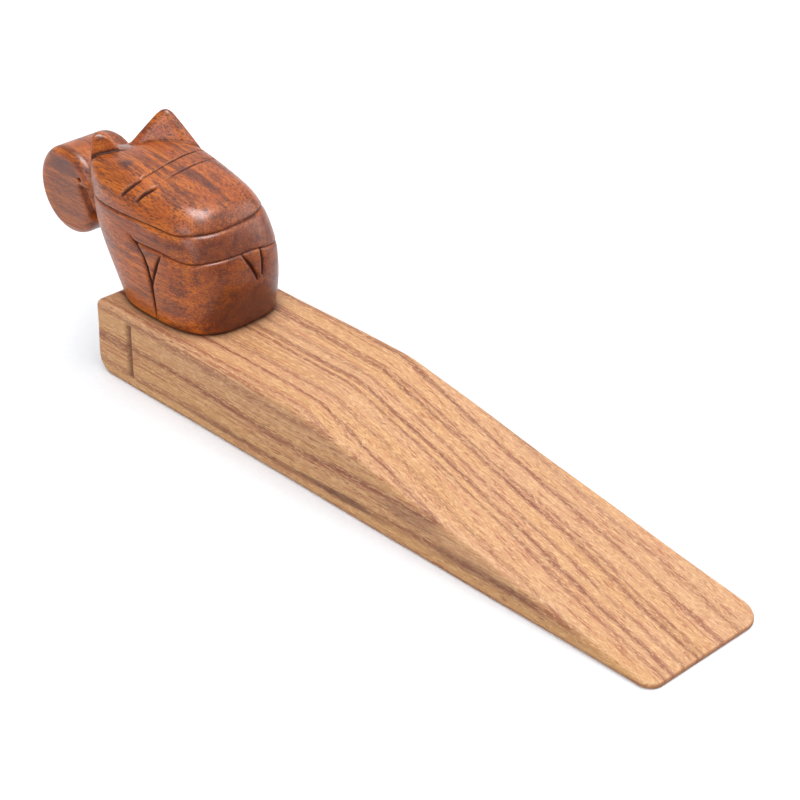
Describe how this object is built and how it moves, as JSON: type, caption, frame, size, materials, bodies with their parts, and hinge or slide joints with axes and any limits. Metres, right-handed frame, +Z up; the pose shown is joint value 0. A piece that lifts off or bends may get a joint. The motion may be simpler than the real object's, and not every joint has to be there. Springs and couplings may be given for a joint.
{
  "type": "door wedge",
  "caption": "Tapered hardwood door wedge with a carved sleeping cat, its tail curled behind it, screwed from below onto the level seat at the thick end.",
  "frame": {"origin": "centre of the block's flat underside", "axes": "+X along the block towards the thin tip, +Y across the block, +Z up"},
  "size_m": [0.2141, 0.0366, 0.0605],
  "materials": {
    "light_hardwood": "satin, fine open grain along the length, reddish-brown streaks",
    "dark_hardwood": "semi-gloss oiled, dark pores along the length",
    "screw_steel": "bright zinc plated"
  },
  "bodies": {
    "root": {"wedge_block": "light_hardwood", "cat_figure": "dark_hardwood", "rear_screw": "screw_steel", "front_screw": "screw_steel"}
  },
  "joints": []
}
